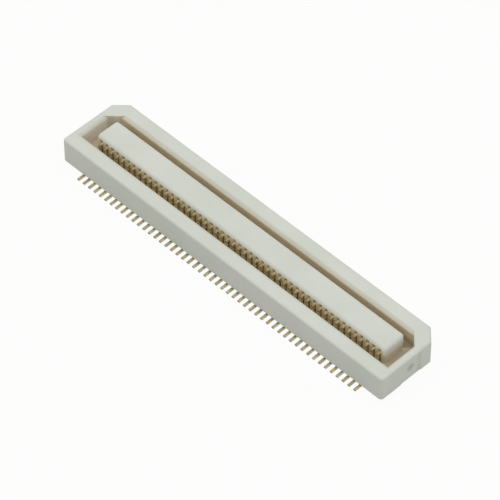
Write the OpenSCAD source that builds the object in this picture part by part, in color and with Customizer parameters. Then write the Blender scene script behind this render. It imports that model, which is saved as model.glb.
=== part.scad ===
// Low board-to-board connector: a moulded housing with a centre island standing in a trench,
// and two rows of formed contacts that come up through the floor against the island's sides.
// Frame: +X along the rows, +Y to the side with the two keyed corners, +Z away from the board.
// The origin is on the board, under the middle of the part.

/* [Contact rows] */
// Contact positions in each of the two rows
positions = 50; // [8:1:58]
// Distance from one contact to the next
pitch = 0.6; // [0.5:0.05:1]

/* [Housing] */
// Height of the moulding from its underside to the rim
housing_h = 2.31; // [2.1:0.01:4]
// Thickness of the long walls at the rim
long_wall = 1.11; // [0.7:0.01:2]
// Thickness of the end walls at the rim
end_wall = 0.47; // [0.4:0.01:2]
// Flat cut across the two keyed corners, measured along each side
corner_cut = 1.05; // [0.5:0.05:1.5]
// Radius of the two plain upright corners
corner_r = 0.18; // [0.05:0.01:0.5]
// Radius along the outer edge of the rim
rim_r = 0.2; // [0.05:0.01:0.3]

/* [Trench] */
// Clear width at the rim between the island's side and a long wall
trench_w = 0.94; // [0.7:0.01:1.5]
// Clear width at the rim between the island's end and an end wall
end_trench_w = 1.24; // [0.5:0.01:2]
// Depth from the rim to the trench floor
trench_depth = 1.4; // [1.2:0.01:1.7]
// Flat cut across the trench's two keyed corners, measured along each side at the rim
trench_cut = 1.25; // [0.7:0.05:1.5]
// How far the lead-in at the rim slopes inwards
lead_in_w = 0.27; // [0.05:0.01:0.3]
// How far the lead-in at the rim reaches down
lead_in_d = 0.27; // [0.1:0.01:0.5]

/* [Island] */
// Width of the island
island_w = 2.16; // [1.6:0.01:4]
// Height of the island's top above the rim
island_rise = 0.27; // [0:0.01:0.4]
// Distance from the last contact's centre to the island's end
island_margin = 0.5; // [0.3:0.01:2]
// Radius along the island's two long top edges
shoulder_r = 0.3; // [0.1:0.01:0.4]
// Radius across the island's two top ends
island_end_r = 0.3; // [0.05:0.01:0.4]
// Radius of the island's upright corners
island_corner_r = 0.12; // [0.05:0.01:0.3]

/* [Contacts] */
// Thickness of the strip that the contacts are formed from
strip_t = 0.12; // [0.08:0.01:0.2]
// Width of a contact
contact_w = 0.22; // [0.12:0.01:0.3]
// Reach of a soldering tail beyond the long wall
tail_reach = 0.51; // [0.3:0.01:1.5]
// Inside radius of the bend between tail and leg
tail_bend_r = 0.12; // [0.05:0.01:0.2]
// Distance from the island's side to the outermost point of a contact
crest_out = 0.27; // [0.18:0.01:0.4]
// Depth of a contact's top bend below the rim
crest_depth = 0.46; // [0.3:0.01:0.6]
// Inside radius of the bend at the top of a contact
crest_bend_r = 0.04; // [0.03:0.01:0.12]
// Slope of a contact's top, down from its tip to the bend, in degrees
arm_slope = 15; // [5:1:25]
// Outward lean of the springing part of the leg, in degrees
lean = 4; // [1:0.5:8]
// Reach of a contact's tip past the island's side, into its slot
tip_reach = 0.18; // [0.03:0.01:0.25]
// Extra width on each side where a leg grips the floor
grip_extra = 0.02; // [0.01:0.01:0.05]
// Height of the gripping stretch of a leg
grip_h = 0.4; // [0.1:0.05:0.6]

/* [Clearances] */
// Clearance on each side of a leg's grip in its slot
slot_clear = 0.02; // [0.01:0.01:0.06]
// Clearance between a contact's outermost point and the outer end of its slot
crest_clear = 0.02; // [0.01:0.01:0.05]
// Room behind a contact's tip for the contact to spring inwards
spring_room = 0.2; // [0.1:0.01:0.4]
// Height of the island left standing over a slot
slot_cap = 0.29; // [0.1:0.01:0.4]
// Clearance between the tail bends and the moulding's underside
tail_clear = 0.06; // [0.01:0.01:0.1]

/* [Underside and end marks] */
// Width of the shallow relief along the middle of the underside
relief_w = 2.1; // [0.5:0.05:3]
// Height of the shallow relief along the middle of the underside
relief_h = 0.12; // [0.05:0.01:0.2]
// Diameter of the round gate mark on one end wall
gate_d = 0.6; // [0.2:0.05:1]
// Depth of the gate mark
gate_depth = 0.08; // [0.02:0.01:0.15]
// Sideways place of the gate mark's centre
gate_y = -0.1; // [-0.5:0.05:0.5]
// Height of the gate mark's centre above the underside
gate_h = 1.25; // [0.5:0.05:1.5]
// Sideways place of the upright witness line on the same end wall
witness_y = 0.8; // [0.6:0.01:1.2]
// Width of the witness line
witness_w = 0.25; // [0.05:0.01:0.3]
// Depth of the witness line
witness_depth = 0.06; // [0.01:0.01:0.1]
// Distance that the witness line stops short of the rim and of the underside
witness_inset = 0.2; // [0.1:0.05:0.4]

/* [Hidden] */
// Fineness of round surfaces
$fn = 48;
// Straight stretches that stand for one bend of a contact
bend_steps = 8;
// How far cutting shapes run past the surfaces that they cut
over = 0.2;

row_half = (positions - 1) * pitch / 2;
island_half_w = island_w / 2;
island_half_l = row_half + island_margin;
trench_half_w = island_half_w + trench_w;
trench_half_l = island_half_l + end_trench_w;
half_w = trench_half_w + long_wall;
half_l = trench_half_l + end_wall;

base_z = strip_t + tail_bend_r + tail_clear;
rim_z = base_z + housing_h;
island_z = rim_z + island_rise;
floor_z = rim_z - trench_depth;

// A contact is drawn in its own plane: s is the distance from the middle of the part, then z.
crest_s = island_half_w + crest_out;
crest_bend = crest_bend_r + strip_t / 2;
crest_round = crest_bend + strip_t / 2;
crest_centre = [crest_s - crest_round, rim_z - crest_depth - crest_round];
knee_z = floor_z;
lean_rise = crest_centre[1] - crest_bend * sin(lean) - knee_z;
leg_s = crest_centre[0] + crest_bend * cos(lean) - lean_rise * tan(lean);
tail_bend = tail_bend_r + strip_t / 2;
tail_centre = [leg_s + tail_bend, strip_t / 2 + tail_bend];
tail_end_s = half_w + tail_reach;
tip_s = island_half_w - tip_reach;
arm_l = (crest_centre[0] + crest_bend * sin(arm_slope) - tip_s) / cos(arm_slope);
grip_top_z = (base_z + floor_z + grip_h) / 2;

slot_w = contact_w + 2 * (grip_extra + slot_clear);
slot_in_s = tip_s - spring_room;
slot_out_s = crest_s + crest_clear;
slot_top_z = island_z - slot_cap;

plastic = [0.86, 0.87, 0.83];
gold = [0.78, 0.64, 0.34];

function pair_name(i) = str("contact_pair_", i < 10 ? "0" : "", i);

// Points along an arc, from one angle to another
function arc(centre, r, from, to) =
    [for (k = [0:bend_steps]) let (a = from + (to - from) * k / bend_steps)
        centre + r * [cos(a), sin(a)]];

function reversed(list) = [for (k = [len(list) - 1:-1:0]) list[k]];

// One face of the formed strip, at a distance from its middle line, from tail end to tip
function strip_face(offset) = concat(
    [[tail_end_s, strip_t / 2 + offset]],
    arc(tail_centre, tail_bend - offset, 270, 180),
    [[leg_s + offset, knee_z - offset * tan(lean / 2)]],
    arc(crest_centre, crest_bend + offset, -lean, 90 - arm_slope),
    [crest_centre + (crest_bend + offset) * [sin(arm_slope), cos(arm_slope)]
        + arm_l * [-cos(arm_slope), sin(arm_slope)]]);

// Plan of the housing and of its trench: a rectangle with two keyed corners on the +Y side
module keyed_plan(hl, hw, cut) {
    polygon([
        [-hl, -hw], [hl, -hw], [hl, hw - cut],
        [hl - cut, hw], [cut - hl, hw], [-hl, hw - cut]
    ]);
}

// Turns a shape drawn in Y and Z into a bar along X
module along_x(length) {
    rotate([90, 0, 90]) linear_extrude(length, center = true) children();
}

// Turns a shape drawn in X and Z into a bar along Y
module along_y(length) {
    rotate([90, 0, 0]) linear_extrude(length, center = true) children();
}

// What a fillet takes off a corner at the origin, whose solid lies towards minus and minus
module fillet_waste(r) {
    translate([-r, -r]) difference() {
        square(r + over);
        circle(r);
    }
}

// Fillet waste along both long top edges and both top ends of a block
module top_edge_waste(hl, hw, top, side_r, end_r) {
    for (turn = [0, 180]) rotate(turn) {
        translate([0, hw, top]) along_x(2 * hl + over) fillet_waste(side_r);
        translate([hl, 0, top]) along_y(2 * hw + over) fillet_waste(end_r);
    }
}

// Waste along an upright corner, whose solid lies towards minus X and minus Y
module upright_waste(x, y, r) {
    translate([x, y, -over]) linear_extrude(rim_z + 2 * over) fillet_waste(r);
}

module block() {
    cut_mid = [half_l - corner_cut / 2, half_w - corner_cut / 2];
    difference() {
        translate([0, 0, base_z])
            linear_extrude(housing_h) keyed_plan(half_l, half_w, corner_cut);
        top_edge_waste(half_l, half_w, rim_z, rim_r, rim_r);
        for (side = [0, 1]) mirror([side, 0, 0]) {
            translate([cut_mid[0], cut_mid[1], rim_z]) rotate(-45)
                along_x(2 * corner_cut) fillet_waste(rim_r);
            mirror([0, 1, 0]) upright_waste(half_l, half_w, corner_r);
        }
    }
}

// A lead-in's section: the trench's half width at the rim, sloping in by lead_in_w
module lead_in_section(half) {
    rise = over * lead_in_w / lead_in_d;
    low = half - lead_in_w;
    polygon([[-low, -lead_in_d], [low, -lead_in_d], [half + rise, over], [-half - rise, over]]);
}

module trench() {
    translate([0, 0, floor_z]) linear_extrude(trench_depth + over)
        keyed_plan(trench_half_l - lead_in_w, trench_half_w - lead_in_w, trench_cut - 2 * lead_in_w);
    intersection() {
        translate([0, 0, rim_z - lead_in_d]) linear_extrude(lead_in_d + over)
            keyed_plan(trench_half_l + over, trench_half_w + over, trench_cut + 2 * over);
        translate([0, 0, rim_z]) along_x(2 * half_l) lead_in_section(trench_half_w);
        translate([0, 0, rim_z]) along_y(2 * half_w) lead_in_section(trench_half_l);
    }
}

module island() {
    difference() {
        translate([-island_half_l, -island_half_w, base_z + relief_h])
            cube([2 * island_half_l, island_w, island_z - base_z - relief_h]);
        top_edge_waste(island_half_l, island_half_w, island_z, shoulder_r, island_end_r);
        for (mx = [0, 1], my = [0, 1]) mirror([mx, 0, 0]) mirror([0, my, 0])
            translate([0, 0, floor_z]) upright_waste(island_half_l, island_half_w, island_corner_r);
    }
}

// Places its children at each contact of both rows
module each_contact() {
    for (i = [1:positions], side = [0, 1])
        translate([(i - 1) * pitch - row_half, 0, 0]) mirror([0, side, 0]) children();
}

module contact_slots() {
    each_contact() translate([-slot_w / 2, slot_in_s, -over])
        cube([slot_w, slot_out_s - slot_in_s, slot_top_z + over]);
}

module underside_relief() {
    translate([-half_l - over, -relief_w / 2, -over])
        cube([2 * (half_l + over), relief_w, base_z + relief_h + over]);
}

module end_marks() {
    translate([half_l - gate_depth, gate_y, base_z + gate_h]) rotate([0, 90, 0])
        cylinder(d = gate_d, h = gate_depth + over);
    translate([half_l - witness_depth, witness_y - witness_w / 2, base_z + witness_inset])
        cube([witness_depth + over, witness_w, housing_h - 2 * witness_inset]);
}

module housing() {
    color(plastic) difference() {
        union() {
            difference() {
                block();
                trench();
            }
            island();
        }
        contact_slots();
        underside_relief();
        end_marks();
    }
}

module contact() {
    along_x(contact_w)
        polygon(concat(strip_face(strip_t / 2), reversed(strip_face(-strip_t / 2))));
    translate([-contact_w / 2 - grip_extra, leg_s - strip_t / 2, grip_top_z - grip_h])
        cube([contact_w + 2 * grip_extra, strip_t, grip_h]);
}

// The two contacts that face each other across the island at one position
module contact_pair(i) {
    color(gold) translate([(i - 1) * pitch - row_half, 0, 0])
        for (side = [0, 1]) mirror([0, side, 0]) contact();
}

housing();
for (i = [1:positions]) contact_pair(i);
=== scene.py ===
# %% [markdown]
# # A low board-to-board connector
#
# The real part is a long, off-white moulding that is soldered flat to a circuit board. A trench runs
# round a raised island in its middle, and fifty thin gold-plated contacts stand along each side of the
# island. The matching plug is pushed down into the trench and presses on the contacts.
#
# This lesson models the moulding and one contact by hand, makes their finishes, copies the contact along
# both rows, and then sets the floor, the light and the camera. Everything is in metres, in the frame of
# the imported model, so a length in millimetres is multiplied by MM.

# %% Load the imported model
import math

import bmesh
import bpy
from mathutils import Matrix, Vector


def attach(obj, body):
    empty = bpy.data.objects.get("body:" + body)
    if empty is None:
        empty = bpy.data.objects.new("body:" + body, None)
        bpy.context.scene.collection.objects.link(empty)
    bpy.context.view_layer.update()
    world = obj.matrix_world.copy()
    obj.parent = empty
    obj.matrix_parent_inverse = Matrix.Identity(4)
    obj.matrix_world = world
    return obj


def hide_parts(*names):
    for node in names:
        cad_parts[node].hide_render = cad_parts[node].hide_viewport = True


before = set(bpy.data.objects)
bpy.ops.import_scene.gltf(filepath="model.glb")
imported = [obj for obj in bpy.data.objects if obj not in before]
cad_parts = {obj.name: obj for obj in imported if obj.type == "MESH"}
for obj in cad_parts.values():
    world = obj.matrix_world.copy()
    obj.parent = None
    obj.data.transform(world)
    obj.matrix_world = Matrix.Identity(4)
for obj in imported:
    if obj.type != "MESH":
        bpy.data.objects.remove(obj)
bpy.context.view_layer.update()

MM = 0.001

# %% [markdown]
# ## Helpers for modelling in edit mode
#
# Blender's operators work on whatever is selected. A person clicks on faces and edges; a script has to
# say which ones it means. The first helpers start a box with nothing else selected, because the loaded
# solids may still be. The next ones pick faces or edges by where they lie. A test looks at the corners
# of one face or edge, and pick keeps those that pass every test it is given.

# %% Helpers: select one object, start a box, report
def deselect():
    """Leaves edit mode and deselects everything."""
    if bpy.context.mode != "OBJECT":
        bpy.ops.object.mode_set(mode="OBJECT")
    bpy.ops.object.select_all(action="DESELECT")


def only(piece):
    """Selects one object alone and makes it the active one."""
    deselect()
    piece.select_set(True)
    bpy.context.view_layer.objects.active = piece


def new_box(name, low, high):
    """Adds a cube that fills the space between two corners, given in mm."""
    deselect()
    middle = [(a + b) / 2 * MM for a, b in zip(low, high)]
    size = [(b - a) * MM for a, b in zip(low, high)]
    bpy.ops.mesh.primitive_cube_add(size=1, location=middle, scale=size)
    piece = bpy.context.active_object
    piece.name = piece.data.name = name
    bpy.ops.object.transform_apply(location=True, rotation=True, scale=True)
    return piece


def report(piece):
    """Prints a piece's size and the number of its faces."""
    size = [round(v / MM, 3) for v in piece.dimensions]
    print(f"{piece.name}: {size} mm, {len(piece.data.polygons)} faces")


print(len(bpy.context.selected_objects), "objects are selected after loading")

# %% Helpers: pick by place
X, Y, Z = 0, 1, 2
select_modes = {"edges": "EDGE", "faces": "FACE"}


def pick(piece, kind, *tests):
    """In edit mode, selects the edges or faces whose corners, in mm, pass every test."""
    only(piece)
    bpy.ops.object.mode_set(mode="EDIT")
    bpy.ops.mesh.select_mode(type=select_modes[kind])
    bpy.ops.mesh.select_all(action="DESELECT")
    bm = bmesh.from_edit_mesh(piece.data)
    chosen = 0
    for part in getattr(bm, kind):
        points = [corner.co / MM for corner in part.verts]
        if all(test(points) for test in tests):
            part.select_set(True)
            chosen += 1
    bm.select_flush_mode()
    bmesh.update_edit_mesh(piece.data)
    return chosen


def every(axis, value, near=1e-3):
    """A test: every corner lies at one value on one axis."""
    return lambda points: all(abs(p[axis] - value) < near for p in points)


def runs(axis, least=1):
    """A test: an edge runs along one axis for more than the least length."""
    return lambda points: abs(points[0][axis] - points[1][axis]) > least


def within(axis, limit, slack=0.01):
    """A test: every corner lies within a limit on both sides of the middle."""
    return lambda points: all(abs(p[axis]) < limit + slack for p in points)


def above(level):
    """A test: at least one corner lies above a level."""
    return lambda points: max(p.z for p in points) > level


print("pick chooses among", list(select_modes))

# %% [markdown]
# ## The sizes
#
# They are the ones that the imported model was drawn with, so each piece made here lies where its solid
# lies. A name that ends in _s is a distance out from the middle of the part towards a long wall, and one
# that ends in _z is a height above the board.

# %% Sizes in mm
positions, pitch = 50, 0.6
row_half = (positions - 1) * pitch / 2
half_l, half_w = 16.91, 3.13
base_z, floor_z, rim_z, island_z = 0.30, 1.21, 2.61, 2.88
trench_half_l, trench_half_w = 16.44, 2.02
lead_in_w, lead_in_d = 0.27, 0.27
island_half_l, island_half_w = 15.2, 1.08
strip_t, contact_w = 0.12, 0.22
print(f"rows of {positions} from {-row_half:.1f} to {row_half:.1f} mm")

# %% [markdown]
# ## The moulding: outer block
#
# The outside is a plain bar with two cut corners on one long side, which stop the plug from going in the
# wrong way round. It could be drawn as a flat outline and extruded. Here a cube is cut down instead,
# because its faces stay flat and its corners stay easy to find: bisect slices the two keyed corners
# off, and bevel rounds the other two and the outer edge of the rim. The upright corners get the larger
# radius, because a rim bevel that is wider than the corner's own radius would fold over itself there.

# %% Outer block with keyed corners
def corner_off(piece, x, y, size):
    """Slices the upright corner at x, y off flat at 45 degrees, size measured along each side."""
    pick(piece, "faces")
    bpy.ops.mesh.bisect(plane_co=(x * MM, (y - size) * MM, 0), plane_no=(math.copysign(1, x), 1, 0),
                        use_fill=True, clear_outer=True)
    bpy.ops.object.mode_set(mode="OBJECT")


def round_off(radius, steps):
    """Bevels the selected edges by a radius in mm."""
    bpy.ops.mesh.bevel(offset=radius * MM, segments=steps, affect="EDGES")


both_ends = (-1, 1)
key_cut, corner_r, rim_r, foot_cut = 1.05, 0.28, 0.2, 0.03
housing = new_box("housing_moulding", (-half_l, -half_w, base_z), (half_l, half_w, rim_z))
for end in both_ends:
    corner_off(housing, end * half_l, half_w, key_cut)
pick(housing, "edges", every(Y, -half_w), runs(Z))
round_off(corner_r, steps=5)
pick(housing, "edges", every(Z, rim_z))
round_off(rim_r, steps=4)
pick(housing, "edges", every(Z, base_z))
round_off(foot_cut, steps=1)
bpy.ops.object.mode_set(mode="OBJECT")
report(housing)

# %% [markdown]
# ## The moulding: trench with its lead-in
#
# The trench has upright walls that flare out near the rim, so that the plug finds its way in. The tool
# that cuts it is a box up to the foot of the flare; its top face is extruded up and then stretched to
# the wider size. Its keyed corners are sliced off last, so that they stay upright through the flare. A
# Boolean modifier with the exact solver does the cutting, and the new edge at the rim is then softened.
# A tool reaches a little past the plastic, because two faces in one plane are hard to cut cleanly.

# %% Helpers: extrude, apply a modifier, cut
def extrude(y=0, z=0):
    """Extrudes what is selected by a step in mm."""
    bpy.ops.mesh.extrude_region_move(TRANSFORM_OT_translate={"value": (0, y * MM, z * MM)})


def apply_modifier(piece, kind, **values):
    """Adds one modifier, sets it up and applies it."""
    only(piece)
    modifier = piece.modifiers.new(kind.lower(), kind)
    for key, value in values.items():
        setattr(modifier, key, value)
    bpy.ops.object.modifier_apply(modifier=modifier.name)
    print(f"{kind.lower()} applied to {piece.name}")


def cut(piece, cutter, operation="DIFFERENCE"):
    """Cuts one piece with another, or joins them, and deletes the tool."""
    apply_modifier(piece, "BOOLEAN", operation=operation, object=cutter, solver="EXACT")
    bpy.data.objects.remove(cutter, do_unlink=True)


spare = 0.2
print("tools reach", spare, "mm past the plastic")

# %% Cut the trench
lead_in_r, trench_foot_r, trench_rim_r, trench_key_cut = 0.08, 0.06, 0.1, 1.25
flare_z = rim_z - lead_in_d
straight_l, straight_w = trench_half_l - lead_in_w, trench_half_w - lead_in_w
trench = new_box("trench_cutter", (-straight_l, -straight_w, floor_z), (straight_l, straight_w, flare_z))
pick(trench, "faces", every(Z, flare_z))
extrude(z=lead_in_d)
bpy.ops.transform.resize(value=(trench_half_l / straight_l, trench_half_w / straight_w, 1))
extrude(z=spare)
for end in both_ends:
    corner_off(trench, end * trench_half_l, trench_half_w, trench_key_cut)
pick(trench, "edges", every(Z, flare_z))
round_off(lead_in_r, steps=3)
pick(trench, "edges", every(Z, floor_z))
round_off(trench_foot_r, steps=2)
bpy.ops.object.mode_set(mode="OBJECT")
report(trench)
cut(housing, trench)
pick(housing, "edges", every(Z, rim_z), within(X, trench_half_l), within(Y, trench_half_w))
round_off(trench_rim_r, steps=3)
bpy.ops.object.mode_set(mode="OBJECT")
report(housing)

# %% [markdown]
# ## The moulding: centre island
#
# The island stands a little above the rim. Its long top edges are well rounded, because the plug's
# contacts slide over them. Bevelling the long edges first leaves the round profile on both end faces,
# and the second bevel, a little smaller, then runs right round those ends. The box starts a little below
# the trench floor, so that the two volumes overlap and join into one.

# %% Raise the island
island_r, island_end_r, island_sunk = 0.3, 0.27, 0.1
island = new_box("island", (-island_half_l, -island_half_w, floor_z - island_sunk),
                 (island_half_l, island_half_w, island_z))
pick(island, "edges", every(Z, island_z), runs(X))
round_off(island_r, steps=6)
for end in both_ends:
    pick(island, "edges", every(X, end * island_half_l), above(floor_z))
    round_off(island_end_r, steps=6)
bpy.ops.object.mode_set(mode="OBJECT")
report(island)
cut(housing, island, "UNION")
report(housing)

# %% [markdown]
# ## The moulding: contact slots and underside
#
# Each contact stands in a slot that goes up through the floor and into the island's side. A hundred boxes
# could be cut one by one. Here one slot cutter is made, an Array repeats it along the row, and a Mirror
# gives the other row, so a single cut makes all of them. The underside has a shallow relief along its
# middle, which keeps the plastic clear of the board there.

# %% Cut the slots and the relief
slot_gap, slot_in_s, slot_out_s, slot_cover = 0.04, 0.70, 1.37, 0.29
slot_half_w = contact_w / 2 + slot_gap
slots = new_box("slot_cutter", (-row_half - slot_half_w, slot_in_s, base_z - spare),
                (-row_half + slot_half_w, slot_out_s, island_z - slot_cover))
apply_modifier(slots, "ARRAY", count=positions, use_relative_offset=False, use_constant_offset=True,
               constant_offset_displace=(pitch * MM, 0, 0))
apply_modifier(slots, "MIRROR", use_axis=(False, True, False), use_mirror_merge=False)
report(slots)
cut(housing, slots)
relief_half_w, relief_d = 1.05, 0.12
relief = new_box("relief_cutter", (-half_l - spare, -relief_half_w, base_z - spare),
                 (half_l + spare, relief_half_w, base_z + relief_d))
cut(housing, relief)
report(housing)

# %% [markdown]
# ## The moulding: two marks on an end wall
#
# One end wall shows the round mark where the plastic was injected, and the upright line where two halves
# of the mould met. Both are hollows a few hundredths of a millimetre deep. A flat-bottomed cut would have
# hard edges, so the tools are a ball and a cylinder that only just touch the wall, with the radius that
# leaves the wanted width and depth.

# %% Press in the two marks
def dished(half_width, depth):
    """Radius in mm of a round tool that leaves a hollow of this half width and depth."""
    return (half_width ** 2 + depth ** 2) / (2 * depth)


witness_y, witness_half_w, witness_depth, witness_short = 0.8, 0.16, 0.04, 0.4
witness_r = dished(witness_half_w, witness_depth)
deselect()
bpy.ops.mesh.primitive_cylinder_add(
    vertices=48, radius=witness_r * MM, depth=(rim_z - base_z - witness_short) * MM,
    location=((half_l + witness_r - witness_depth) * MM, witness_y * MM, (base_z + rim_z) / 2 * MM))
cut(housing, bpy.context.active_object)

gate_y, gate_z, gate_half_w, gate_depth = -0.1, base_z + 1.25, 0.3, 0.08
gate_r = dished(gate_half_w, gate_depth)
deselect()
bpy.ops.mesh.primitive_uv_sphere_add(
    segments=48, ring_count=24, radius=gate_r * MM, rotation=(0, math.pi / 2, 0),
    location=((half_l + gate_r - gate_depth) * MM, gate_y * MM, gate_z * MM))
cut(housing, bpy.context.active_object)
report(housing)

# %% [markdown]
# ## The moulding: clean mesh and smooth shading
#
# Cutting leaves a few corners almost on top of each other, so they are merged. Faces that meet at a low
# angle are then shaded smooth, and Weighted Normal lets the large flat faces decide how the small bevel
# faces beside them are shaded. The finished piece rides on the only body and stands for its solid.

# %% Finish the mesh of the moulding
weld_distance, crease_angle = 0.0005, math.radians(32)
only(housing)
bpy.ops.object.mode_set(mode="EDIT")
bpy.ops.mesh.select_all(action="SELECT")
bpy.ops.mesh.remove_doubles(threshold=weld_distance * MM)
bpy.ops.object.mode_set(mode="OBJECT")
bpy.ops.object.shade_smooth_by_angle(angle=crease_angle)
apply_modifier(housing, "WEIGHTED_NORMAL", weight=100, keep_sharp=True)
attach(housing, "root")
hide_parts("housing")
report(housing)

# %% [markdown]
# ## One formed contact
#
# A contact is a narrow strip of springy copper alloy, stamped and then bent: a flat tail that is
# soldered to the board, a bend up through the floor, where a slightly wider stretch grips the plastic, a
# leg that leans out a little, and a hooked top whose tip reaches back into the slot. A curve with a
# profile could follow that path. Spinning and extruding the end edge of a thin plane does the same as
# the bending tool does, one bend at a time, and Solidify gives the strip its thickness.
#
# The path runs along the middle of the strip's thickness, so the places of its bends are worked out
# first, from the crest of the hook downwards.

# %% Where the bends lie
lean, slope = math.radians(4), math.radians(15)
crest_depth, crest_out, crest_inner_r = 0.46, 0.27, 0.04
tail_out, tail_inner_r, tip_in = 0.51, 0.12, 0.18
crest_bend = crest_inner_r + strip_t / 2
crest_round = crest_bend + strip_t / 2
crest_s = island_half_w + crest_out - crest_round
crest_z = rim_z - crest_depth - crest_round
arm_s = crest_s + crest_bend * math.sin(slope)
arm_z = crest_z + crest_bend * math.cos(slope)
tip_s = island_half_w - tip_in
lean_rise = crest_z - crest_bend * math.sin(lean) - floor_z
lean_run = lean_rise * math.tan(lean)
leg_s = crest_s + crest_bend * math.cos(lean) - lean_run
tail_bend = tail_inner_r + strip_t / 2
tail_z = strip_t / 2
tail_start_s, tail_end_s = leg_s + tail_bend, half_w + tail_out
grip_h, grip_extra, grip_taper = 0.4, 0.02, 0.02
grip_low_z = (base_z + floor_z - grip_h) / 2
grip_top_z = grip_low_z + grip_h
grip_widen = 1 + 2 * grip_extra / contact_w
print(f"leg at {leg_s:.3f} mm, crest centre at {crest_s:.3f}, {crest_z:.3f} mm")

# %% Bend the first contact
deselect()
bpy.ops.mesh.primitive_plane_add(size=1, location=(0, (tail_start_s + tail_end_s) / 2 * MM, tail_z * MM))
contact = bpy.context.active_object
contact.name = contact.data.name = "contact"
contact.scale = (contact_w * MM, (tail_end_s - tail_start_s) * MM, 1)
bpy.ops.object.transform_apply(location=True, rotation=True, scale=True)


def end_edge(s, z):
    """Selects the strip's open end, which lies at s and z."""
    found = pick(contact, "edges", every(Y, s), every(Z, z))
    assert found == 1, (s, z, found)


def bend(steps, angle, s, z, way):
    """Spins the strip's end round a point at s and z; way is 1 to turn it up and -1 to turn it over."""
    bpy.ops.mesh.spin(steps=steps, angle=angle, center=(0, s * MM, z * MM), axis=(way, 0, 0))


end_edge(tail_start_s, tail_z)
bend(4, math.pi / 2, tail_start_s, tail_z + tail_bend, way=1)
leg_z = tail_z + tail_bend
end_edge(leg_s, leg_z)
for up_to, stretch in ((grip_low_z, 1), (grip_low_z + grip_taper, grip_widen), (grip_top_z - grip_taper, 1),
                       (grip_top_z, 1 / grip_widen), (floor_z, 1)):
    extrude(z=up_to - leg_z)
    bpy.ops.transform.resize(value=(stretch, 1, 1))
    leg_z = up_to
extrude(lean_run, lean_rise)
end_edge(leg_s + lean_run, floor_z + lean_rise)
bend(5, math.pi / 2 + lean - slope, crest_s, crest_z, way=-1)
end_edge(arm_s, arm_z)
extrude(tip_s - arm_s, (arm_s - tip_s) * math.tan(slope))
bpy.ops.object.mode_set(mode="OBJECT")
report(contact)

# %% [markdown]
# ### Thickness
#
# Spinning leaves doubled corners and may turn faces over. So the doubles are merged and the normals made
# consistent before Solidify, which gives the strip the same thickness on both sides of the path.

# %% Thicken the strip
strip_weld = 0.001
bpy.ops.object.mode_set(mode="EDIT")
bpy.ops.mesh.select_all(action="SELECT")
bpy.ops.mesh.remove_doubles(threshold=strip_weld * MM)
bpy.ops.mesh.normals_make_consistent(inside=False)
bpy.ops.object.mode_set(mode="OBJECT")
apply_modifier(contact, "SOLIDIFY", thickness=strip_t * MM, offset=0, use_even_offset=True)
report(contact)

# %% [markdown]
# ## The two finishes
#
# The moulding is a matte engineering plastic: off-white, with a faint mottle, a fine grain that breaks up
# the highlights, and painted bounce light and shade down in the trench, where light bounces between the
# plastic and the gold. The contacts have thin, slightly uneven gold plating with painted shade round the
# bends, and their sheared tail ends show the darker alloy. All of them need soft noise at a chosen size, so
# that is one node group, placed in each material with its own values.

# %% A shared group: uneven tone and fine grain
surface = bpy.data.node_groups.new("uneven_surface", "ShaderNodeTree")
for label in ("Blotch", "Grain"):
    for name, way in ((f"{label} Scale", "INPUT"), (label, "OUTPUT")):
        surface.interface.new_socket(name=name, in_out=way, socket_type="NodeSocketFloat")
inside = surface.nodes.new("NodeGroupInput")
outside = surface.nodes.new("NodeGroupOutput")
place = surface.nodes.new("ShaderNodeTexCoord")
for label, detail in (("Blotch", 4), ("Grain", 2)):
    noise = surface.nodes.new("ShaderNodeTexNoise")
    noise.inputs["Detail"].default_value = detail
    surface.links.new(place.outputs["Object"], noise.inputs["Vector"])
    surface.links.new(inside.outputs[f"{label} Scale"], noise.inputs["Scale"])
    surface.links.new(noise.outputs["Fac"], outside.inputs[label])
print("node group", surface.name, "has", [item.name for item in surface.interface.items_tree])

# %% [markdown]
# ## Helpers for building a material
#
# A material is a tree of nodes. Placing each node by hand takes four or five lines, so these helpers
# place one kind of node each and hand back the socket that comes out of it. A socket knows the tree that
# it belongs to, as id_data, so the tree needn't be passed along. Places in a material are in metres on
# Object coordinates, so a mask stays on the piece whichever way it is looked at.

# %% Helpers: start a material, find a place on the piece
def new_material(name):
    """A material with nodes: the material, its node tree and its Principled BSDF."""
    material = bpy.data.materials.new(name)
    material.use_nodes = True
    return material, material.node_tree, material.node_tree.nodes["Principled BSDF"]


def place_surface(tree, blotch_scale, grain_scale):
    """Places the shared group with its own scales, and gives its two outputs."""
    group = tree.nodes.new("ShaderNodeGroup")
    group.node_tree = surface
    group.inputs["Blotch Scale"].default_value = blotch_scale
    group.inputs["Grain Scale"].default_value = grain_scale
    return group.outputs["Blotch"], group.outputs["Grain"]


def object_place(tree):
    """The Object coordinate, and its X, Y and Z."""
    point = tree.nodes.new("ShaderNodeTexCoord").outputs["Object"]
    split = tree.nodes.new("ShaderNodeSeparateXYZ")
    tree.links.new(point, split.inputs["Vector"])
    return point, split.outputs["X"], split.outputs["Y"], split.outputs["Z"]


print(len(bpy.data.materials), "materials came with the solids")

# %% Helpers: ranges, sums, mixes and masks
noise_middle, noise_wide = (0.35, 0.65), (0.3, 0.7)


def spread(source, span, to_span, smooth=False):
    """Maps a value from one range to another."""
    tree = source.id_data
    node = tree.nodes.new("ShaderNodeMapRange")
    if smooth:
        node.interpolation_type = "SMOOTHSTEP"
    for name, value in zip(("From Min", "From Max", "To Min", "To Max"), (*span, *to_span)):
        node.inputs[name].default_value = value
    tree.links.new(source, node.inputs["Value"])
    return node.outputs["Result"]


def maths(operation, first, second=0):
    """One Math node; the second side is a socket or a number."""
    tree = first.id_data
    node = tree.nodes.new("ShaderNodeMath")
    node.operation = operation
    tree.links.new(first, node.inputs[0])
    if isinstance(second, (int, float)):
        node.inputs[1].default_value = second
    else:
        tree.links.new(second, node.inputs[1])
    return node.outputs[0]


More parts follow.
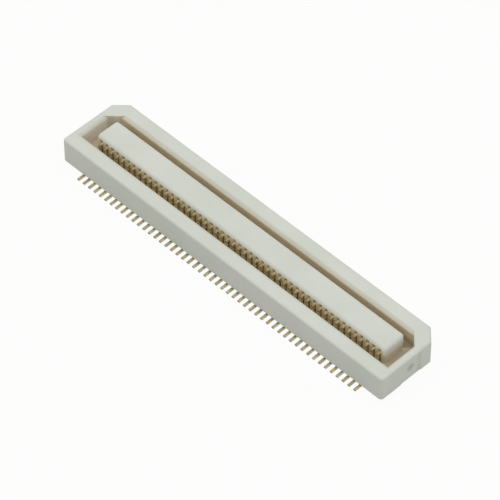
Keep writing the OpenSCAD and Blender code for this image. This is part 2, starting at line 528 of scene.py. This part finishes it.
def mixed(factor, first, second):
    """Mixes two colours, or sockets that give a colour, by a mask."""
    tree = factor.id_data
    node = tree.nodes.new("ShaderNodeMix")
    node.data_type = "RGBA"
    tree.links.new(factor, node.inputs["Factor"])
    for name, value in (("A", first), ("B", second)):
        entry = [i for i in node.inputs if i.name == name and i.type == "RGBA"][0]
        if isinstance(value, tuple):
            entry.default_value = (*value, 1)
        else:
            tree.links.new(value, entry)
    return [o for o in node.outputs if o.type == "RGBA"][0]


def ramp(source, zero, one, smooth=False):
    """A mask that is 0 at one place and 1 at another, both in mm."""
    return spread(source, (zero * MM, one * MM), (0, 1), smooth)


def both(*masks):
    """The product of several masks."""
    product = masks[0]
    for mask in masks[1:]:
        product = maths("MULTIPLY", product, mask)
    return product


print("noise is read between", noise_middle, "for tones and", noise_wide, "for roughness")

# %% [markdown]
# ## Off-white plastic: the plain tone
#
# The moulding's own colour is a greyed off-white that leans slightly to green. One flat colour would
# look like paint, so two close tones are mixed by wide soft noise, as pigment and flow lines do in a
# real moulding. The distances along and across the part and the height are kept for the next steps.

# %% Off-white moulded plastic
plastic, tree, shader = new_material("off_white_moulding")
blotch, grain = place_surface(tree, blotch_scale=260, grain_scale=14000)
point, from_x, from_y, height = object_place(tree)
along = maths("ABSOLUTE", from_x)
across = maths("ABSOLUTE", from_y)
plain_tone, pale_tone = (0.640, 0.658, 0.570), (0.682, 0.692, 0.610)
tone = mixed(spread(blotch, noise_middle, (0, 1)), plain_tone, pale_tone)
print("material", plastic.name, "from", plain_tone, "to", pale_tone)

# %% [markdown]
# ## Off-white plastic: where the painted light and shade lie in the trench
#
# Down in the trench the plastic looks warm and uneven in brightness, because light bounces off gold and
# plastic and shade falls there. The light in the scene gives only part of that, so the rest is painted into
# the colour: painted bounce light, painted light where a place should look lighter, and painted shade where
# it should look darker. A mask for each area is made from places on the part: a ramp is 0 at the first
# place and 1 at the second, in mm, and the product of ramps along, across and up bounds an area.

# %% Masks by height
deep = ramp(height, rim_z + 0.02, rim_z - 0.4, smooth=True)
low_down = ramp(height, floor_z + 0.6, floor_z)
below_crests = ramp(height, rim_z - 0.75, rim_z - 1.0)
below_rim = ramp(height, rim_z - 0.01, rim_z - 0.15)
down_island_ends = ramp(height, rim_z - 0.2, rim_z - 0.9, smooth=True)
on_floor = ramp(height, floor_z + 0.03, floor_z + 0.01)
below_shoulder = both(ramp(height, island_z - 0.06, rim_z - 0.05),
                      ramp(along, island_half_l + 0.15, island_half_l + 0.05))
print("masks by height between", floor_z, "and", island_z, "mm")

# %% Masks by area
mid_trench, mid_trench_soft = 1.5, 1.65
in_trench = both(ramp(across, trench_half_w + 0.06, trench_half_w),
                 ramp(along, trench_half_l + 0.06, trench_half_l),
                 ramp(height, floor_z - 0.3, floor_z - 0.1))
in_slots = both(ramp(across, island_half_w - 0.01, island_half_w - 0.03),
                ramp(along, island_half_l - 0.1, island_half_l - 0.3),
                ramp(height, rim_z, rim_z - 0.1))
at_shoulder = both(ramp(height, rim_z - 0.2, rim_z - 0.04, smooth=True),
                   ramp(height, rim_z + 0.15, rim_z + 0.02, smooth=True),
                   ramp(across, island_half_w - 0.1, island_half_w - 0.04),
                   ramp(across, island_half_w + 0.1, island_half_w + 0.03),
                   ramp(along, island_half_l + 0.1, island_half_l + 0.05))
by_long_walls = ramp(across, mid_trench, mid_trench_soft)
by_end_walls = ramp(along, island_half_l + 0.4, island_half_l + 0.7)
past_rows = both(ramp(along, island_half_l - 0.3, island_half_l - 0.1),
                 ramp(across, mid_trench_soft, mid_trench))
on_lead_in = both(maths("MAXIMUM", by_long_walls, by_end_walls),
                  ramp(height, rim_z, rim_z - 0.2, smooth=True),
                  ramp(height, rim_z - 0.36, rim_z - 0.26))
print("masks by area inside", trench_half_l, "by", trench_half_w, "mm from the middle")

# %% Masks for corners and feet
keyed_sum = trench_half_l + trench_half_w - trench_key_cut
island_corner = island_half_w - island_half_l
by_keyed_walls = ramp(maths("ADD", along, from_y), keyed_sum - 0.2, keyed_sum - 0.05)
past_contacts = ramp(along, row_half - 0.2, row_half)
near_foot = ramp(along, island_half_l + 0.3, island_half_l)
off_foot = ramp(along, island_half_l, island_half_l + 0.02)
off_corner = ramp(maths("SUBTRACT", across, along), island_corner + 0.04, island_corner + 0.22)
floor_shadow_corners = both(in_trench, on_floor, past_contacts, off_corner)
inside_ends = both(in_trench, past_rows, maths("MAXIMUM", below_rim, below_shoulder))
print("keyed walls lie where x and y add up to", round(keyed_sum, 2), "mm")

# %% [markdown]
# ## Off-white plastic: painted bounce light and shade in the trench
#
# Each area gets a painted tone, and some fade from one tone higher up to another lower down. The tones are
# mixed from the large areas to the small ones, so that a small one, such as the painted light on the
# shoulder over the contacts or the painted shadow in the corner of the floor, lies over what is round it.

# %% Painted bounce light and shade down in the trench
# The island's sides get painted shade above the crests' level and painted light below it, and the slots get
# painted light.
side_painted_shade, side_painted_light, slot_painted_light = (0.68, 0.575, 0.35), (0.88, 0.75, 0.50), (0.95, 0.86, 0.66)
island_sides = mixed(below_crests, side_painted_shade, side_painted_light)
island_sides = mixed(in_slots, island_sides, slot_painted_light)

# The long walls get a warm painted bounce tone that turns to painted shade towards the floor, and a lighter
# painted tone on the lead-in.
wall_painted_bounce, wall_painted_shade, wall_lead_in = (0.77, 0.67, 0.48), (0.46, 0.36, 0.23), (0.74, 0.69, 0.53)
long_walls = mixed(low_down, wall_painted_bounce, wall_painted_shade)
long_walls = mixed(on_lead_in, long_walls, wall_lead_in)

# The end walls get painted light, with a darker painted tone on the lead-in and painted shade on the keyed
# walls.
end_wall_painted_light, end_lead_in, keyed_wall_painted_shade = (0.88, 0.84, 0.75), (0.67, 0.65, 0.56), (0.68, 0.64, 0.52)
end_walls = mixed(on_lead_in, end_wall_painted_light, end_lead_in)
end_walls = mixed(by_keyed_walls, end_walls, keyed_wall_painted_shade)

# The island's ends get painted light at the top and a warm painted bounce tone lower down, and the floor at
# the ends gets painted shade.
island_end_painted_light, island_end_painted_bounce = (0.84, 0.85, 0.80), (0.71, 0.63, 0.485)
floor_far_painted_shade, floor_near_painted_shade = (0.46, 0.39, 0.285), (0.52, 0.445, 0.325)
end_areas = mixed(by_end_walls, mixed(down_island_ends, island_end_painted_light, island_end_painted_bounce), end_walls)
end_areas = mixed(both(on_floor, off_foot), end_areas, mixed(near_foot, floor_far_painted_shade, floor_near_painted_shade))

# Painted light on the shoulder over the contacts, and a painted shadow in the floor's far corners beside
# the island's ends.
shoulder_painted_light, corner_painted_shadow = (0.80, 0.79, 0.66), (0.30, 0.255, 0.17)
tone = mixed(both(in_trench, at_shoulder), tone, shoulder_painted_light)
tone = mixed(both(in_trench, deep), tone, mixed(by_long_walls, island_sides, long_walls))
tone = mixed(inside_ends, tone, end_areas)
tone = mixed(floor_shadow_corners, tone, corner_painted_shadow)
print("the plastic has", len(tree.nodes), "nodes so far")

# %% [markdown]
# ## Off-white plastic: painted shade in two marks on one end wall
#
# The gate mark and the witness line are shallow hollows that look a little darker than the wall round them.
# Left to the hollows alone, their shade is too faint to show much, so it is painted: one mask fades with
# the distance from the middle of the gate mark, and the other with the distance from the line, only on that
# wall.

# %% Painted shade in two marks on one end wall
# Painted shade in the gate mark and along the witness line.
gate_painted_shade, gate_fade = (0.50, 0.515, 0.45), (0.5, 0.2)
witness_painted_shade, witness_fade = (0.585, 0.60, 0.52), (0.36, 0.06)
gate_middle = (half_l * MM, gate_y * MM, gate_z * MM)
from_gate = tree.nodes.new("ShaderNodeVectorMath")
from_gate.operation = "DISTANCE"
from_gate.inputs[1].default_value = gate_middle
tree.links.new(point, from_gate.inputs[0])
gate_mark = ramp(from_gate.outputs["Value"], *gate_fade, smooth=True)
from_witness = maths("ABSOLUTE", maths("SUBTRACT", from_y, witness_y * MM))
witness_mark = both(ramp(from_x, half_l - 0.12, half_l - 0.1),
                    ramp(from_witness, *witness_fade, smooth=True),
                    ramp(height, base_z, base_z + 0.15),
                    ramp(height, rim_z - 0.1, rim_z - 0.3))
tone = mixed(gate_mark, tone, gate_painted_shade)
tone = mixed(witness_mark, tone, witness_painted_shade)
print("gate mark at", [round(v / MM, 2) for v in gate_middle], "mm")

# %% [markdown]
# ## Off-white plastic: matte grain
#
# Moulds for such parts usually leave a very fine grain on the plastic. It shows as roughness that varies a
# little and as a faint bump, both from the same fine noise. The specular level is low, because the
# plastic hardly shines. A displaced mesh could carry the grain too, but would need far more faces.

# %% Finish the plastic
def grainy(shader, grain, rough_span, bump_strength, bump_depth):
    """Lets the grain vary the roughness and raise a fine bump, its depth in mm."""
    tree = shader.id_data
    tree.links.new(spread(grain, noise_wide, rough_span), shader.inputs["Roughness"])
    bump = tree.nodes.new("ShaderNodeBump")
    bump.inputs["Strength"].default_value = bump_strength
    bump.inputs["Distance"].default_value = bump_depth * MM
    tree.links.new(grain, bump.inputs["Height"])
    tree.links.new(bump.outputs["Normal"], shader.inputs["Normal"])


grainy(shader, grain, rough_span=(0.48, 0.62), bump_strength=0.12, bump_depth=0.01)
tree.links.new(tone, shader.inputs["Base Color"])
shader.inputs["Specular IOR Level"].default_value = 0.35
housing.data.materials.clear()
housing.data.materials.append(plastic)
print("material", plastic.name, "on", housing.name)

# %% [markdown]
# ## Gold plating
#
# The contacts are plated with a thin layer of gold, so the shader is fully metallic and its colour is the
# colour of its reflections. Round the bends the colour is darkened as painted shade, which dims the lamp's
# highlight there, and the plating is a little greyer on the legs and the tails. A material for each place
# would do, but would leave hard borders. Here masks blend the tones, soft noise varies each, and a fine
# grain makes the metal satin.

# %% Gold plating
plating, tree, shader = new_material("gold_plating")
blotch, grain = place_surface(tree, blotch_scale=1500, grain_scale=16000)
from_y, height = object_place(tree)[2:]
across = maths("ABSOLUTE", from_y)
wear = spread(blotch, noise_middle, (0, 1))
on_legs = ramp(height, rim_z - 0.8, rim_z - 1.0)
# Painted shade round the bends, darker than the plating, dims the lamp's highlight there.
shaded_bends = both(ramp(across, island_half_w - 0.05, island_half_w + 0.1),
                ramp(height, rim_z - 0.72, rim_z - 0.52))
on_tails = ramp(across, half_w - 0.6, half_w - 0.2)
tone = mixed(wear, (0.78, 0.685, 0.43), (0.90, 0.80, 0.53))
for mask, worn, fresh in ((on_legs, (0.60, 0.54, 0.35), (0.72, 0.66, 0.44)),
                          (shaded_bends, (0.365, 0.295, 0.16), (0.44, 0.36, 0.205)),
                          (on_tails, (0.57, 0.52, 0.34), (0.72, 0.66, 0.45))):
    tone = mixed(mask, tone, mixed(wear, worn, fresh))
tree.links.new(tone, shader.inputs["Base Color"])
grainy(shader, grain, rough_span=(0.62, 0.74), bump_strength=0.08, bump_depth=0.005)
shader.inputs["Metallic"].default_value = 1
print("material", plating.name, "has", len(tree.nodes), "nodes")

# %% [markdown]
# ## Sheared tail ends
#
# The strips are cut apart after plating, so the end face of each tail shows bare, dark alloy with torn
# patches. It is one face, so it gets a material slot of its own: the face is picked by its place and the
# second slot is assigned to it in edit mode.

# %% Sheared alloy on the tail's end
sheared, tree, shader = new_material("sheared_alloy")
blotch, grain = place_surface(tree, blotch_scale=3000, grain_scale=20000)
tree.links.new(mixed(blotch, (0.13, 0.11, 0.09), (0.26, 0.22, 0.17)), shader.inputs["Base Color"])
tree.links.new(spread(grain, noise_wide, (0.4, 0.6)), shader.inputs["Roughness"])
shader.inputs["Metallic"].default_value = 0.7

strip_crease_angle = math.radians(40)
contact.data.materials.append(plating)
contact.data.materials.append(sheared)
pick(contact, "faces", every(Y, tail_end_s))
contact.active_material_index = 1
bpy.ops.object.material_slot_assign()
only(contact)
bpy.ops.object.shade_smooth_by_angle(angle=strip_crease_angle)
print("materials on the contact:", [slot.name for slot in contact.material_slots])

# %% [markdown]
# ## Copy the contact along both rows
#
# The far row's contact is the near row's turned round, so a Mirror gives the pair that face each other
# across the island. An Array could repeat the pair, but each pair stands for a solid of its own. So it
# is copied fifty times, each copy with a mesh of its own, moved to its place in the mesh, and every
# object stays at the origin like the solid that it stands for.

# %% Fifty pairs of contacts
apply_modifier(contact, "MIRROR", use_axis=(False, True, False), use_mirror_merge=False)
only(contact)
bpy.ops.object.mode_set(mode="EDIT")
bpy.ops.mesh.select_all(action="SELECT")
bpy.ops.mesh.normals_make_consistent(inside=False)
bpy.ops.object.mode_set(mode="OBJECT")
for i in range(positions):
    pair = contact.copy()
    pair.data = contact.data.copy()
    pair.name = pair.data.name = f"contacts_{i + 1:02d}"
    bpy.context.collection.objects.link(pair)
    pair.data.transform(Matrix.Translation(((i * pitch - row_half) * MM, 0, 0)))
    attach(pair, "root")
    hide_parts(f"contact_pair_{i + 1:02d}")
print(positions, "pairs of contacts,", len(contact.data.polygons), "faces each")
bpy.data.objects.remove(contact, do_unlink=True)

# %% [markdown]
# ## White floor
#
# The part lies on a white sheet, as in a catalogue picture. More light would make a grey sheet white but
# would burn out the plastic. Instead the sheet mixes its own grey with a plain white glow, and Light Path
# shows the glow only to the camera and in reflections. The small share of grey that is left keeps the
# shadow.

# %% White floor
sheet_grey, glow_white, glow_share = (0.62, 0.62, 0.61, 1), (1, 1, 0.995, 1), 0.95
deselect()
bpy.ops.mesh.primitive_plane_add(size=4, location=(0, 0, 0))
floor = bpy.context.active_object
floor.name = "floor"
sheet, tree, shader = new_material("white_sheet")
shader.inputs["Base Color"].default_value = sheet_grey
shader.inputs["Roughness"].default_value = 0.9
glow = tree.nodes.new("ShaderNodeEmission")
glow.inputs["Color"].default_value = glow_white
glow.inputs["Strength"].default_value = 1
rays = tree.nodes.new("ShaderNodeLightPath")
seen = maths("MAXIMUM", rays.outputs["Is Camera Ray"], rays.outputs["Is Glossy Ray"])
seen = maths("MAXIMUM", seen, rays.outputs["Is Transmission Ray"])
blend = tree.nodes.new("ShaderNodeMixShader")
tree.links.new(maths("MULTIPLY", seen, glow_share), blend.inputs[0])
tree.links.new(shader.outputs[0], blend.inputs[1])
tree.links.new(glow.outputs[0], blend.inputs[2])
tree.links.new(blend.outputs[0], tree.nodes["Material Output"].inputs["Surface"])
floor.data.materials.append(sheet)
print("floor of", floor.dimensions[0], "m")

# %% [markdown]
# ## Soft light
#
# A catalogue picture is lit from all round. A plain pale world does most of that here. A wide disc lamp
# hangs over the part, a little towards one end, and gives the top faces more light than the walls. A
# weak, low strip of a lamp stands off the other end and lifts the end wall there.

# %% Pale world and two soft lamps
scene = bpy.context.scene
scene.view_settings.view_transform = "Standard"
world = bpy.data.worlds.new("pale_studio")
world.use_nodes = True
scene.world = world
sky = world.node_tree.nodes["Background"]
sky.inputs["Color"].default_value = (0.985, 1, 1.03, 1)
sky.inputs["Strength"].default_value = 0.575

bpy.ops.object.light_add(type="AREA", location=(-0.03, 0, 0.35))
lamp = bpy.context.active_object
lamp.name = "overhead_lamp"
lamp.data.shape = "DISK"
lamp.data.size = 0.3
lamp.data.energy = 0.53

bpy.ops.object.light_add(type="AREA", location=(0.3, 0, 0.03), rotation=(0, math.pi / 2, 0))
end_lamp = bpy.context.active_object
end_lamp.name = "end_lamp"
end_lamp.data.shape = "RECTANGLE"
end_lamp.data.size = 0.04
end_lamp.data.size_y = 0.2
end_lamp.data.energy = 0.05
print("world", sky.inputs["Strength"].default_value, "lamps", lamp.data.energy, end_lamp.data.energy, "W")

# %% [markdown]
# ## The camera
#
# The photograph looks along the diagonal of the part from about 49 degrees above, with a long lens, so
# parallel edges stay nearly parallel. The numbers below were fitted to the part's own corners in the
# photograph: direction, distance, focal length in pixels and the small shift of the picture's centre.
# The camera is placed by three directions, to the right, up and back, which are the columns of its
# rotation.

# %% Camera fitted to the photograph
azimuth, elevation, distance = math.radians(45.05), math.radians(48.57), 266.47
shift_right, shift_up, aim = 0.167, 0.360, Vector((0.065, 0, base_z))
picture_px, focal_px, sensor_mm = 500, 3543.76, 36
back = Vector((math.sin(azimuth) * math.cos(elevation), -math.cos(azimuth) * math.cos(elevation),
               math.sin(elevation)))
right = Vector((math.cos(azimuth), math.sin(azimuth), 0))
up = back.cross(right)
eye = (back * distance + right * shift_right + up * shift_up + aim) * MM
bpy.ops.object.camera_add(location=eye)
camera = bpy.context.active_object
camera.name = "camera"
camera.matrix_world = Matrix.Translation(eye) @ Matrix((right, up, back)).transposed().to_4x4()
camera.data.sensor_width = sensor_mm
camera.data.lens = sensor_mm * focal_px / picture_px
camera.data.clip_start, camera.data.clip_end = 0.01, 10
scene.camera = camera
print("camera", [round(v, 4) for v in eye], "lens", round(camera.data.lens, 2))
